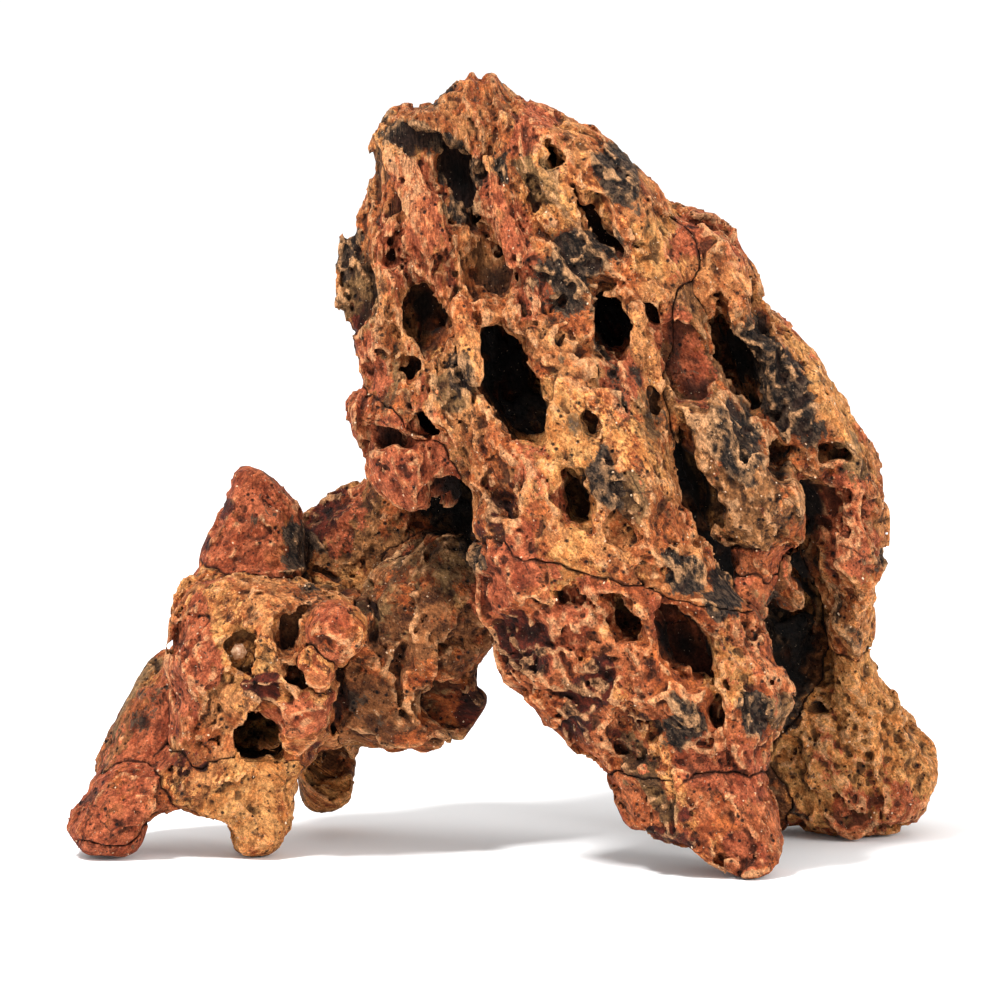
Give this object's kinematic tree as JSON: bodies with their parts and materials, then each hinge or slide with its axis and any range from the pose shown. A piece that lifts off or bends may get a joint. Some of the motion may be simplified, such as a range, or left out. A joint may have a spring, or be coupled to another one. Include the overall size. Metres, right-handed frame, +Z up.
{
  "type": "aquarium cave ornament",
  "caption": "Rough stone-look resin cave ornament: a tall pitted slab leans over a low left rock, making a through arch and a sheltered cave behind the slab.",
  "frame": {"origin": "on the tank floor, under the middle of the ornament's outline", "axes": "+X right as seen from the front, +Y away from the front, +Z up"},
  "size_m": [0.262, 0.12, 0.236],
  "materials": {
    "ochre_resin": "matt cast resin, hand-coloured ochre",
    "red_resin": "matt cast resin, hand-coloured brick red",
    "brown_resin": "matt cast resin, hand-coloured brown",
    "charcoal_resin": "matt cast resin, hand-coloured charcoal",
    "clear_crystal": "glossy clear resin",
    "steel_pin": "plain stainless rod"
  },
  "bodies": {
    "root": {"front_slab": "ochre_resin", "lower_apron": "red_resin", "slab_foot": "red_resin", "middle_panel": "charcoal_resin", "right_rib": "ochre_resin", "right_boulder": "ochre_resin", "left_spur": "red_resin", "rear_shell": "brown_resin", "bridge_column": "brown_resin", "rear_saddle": "charcoal_resin", "left_body": "ochre_resin", "red_fin": "red_resin", "front_leg": "ochre_resin", "left_flank": "brown_resin", "left_toe": "red_resin", "toe_pad": "red_resin", "rear_scoop": "brown_resin", "round_pebble": "red_resin", "small_pebble": "red_resin", "chip_upper": "red_resin", "chip_middle": "red_resin", "chip_lower": "brown_resin", "pit_crystal": "clear_crystal", "joint_pins": "steel_pin"}
  },
  "joints": []
}
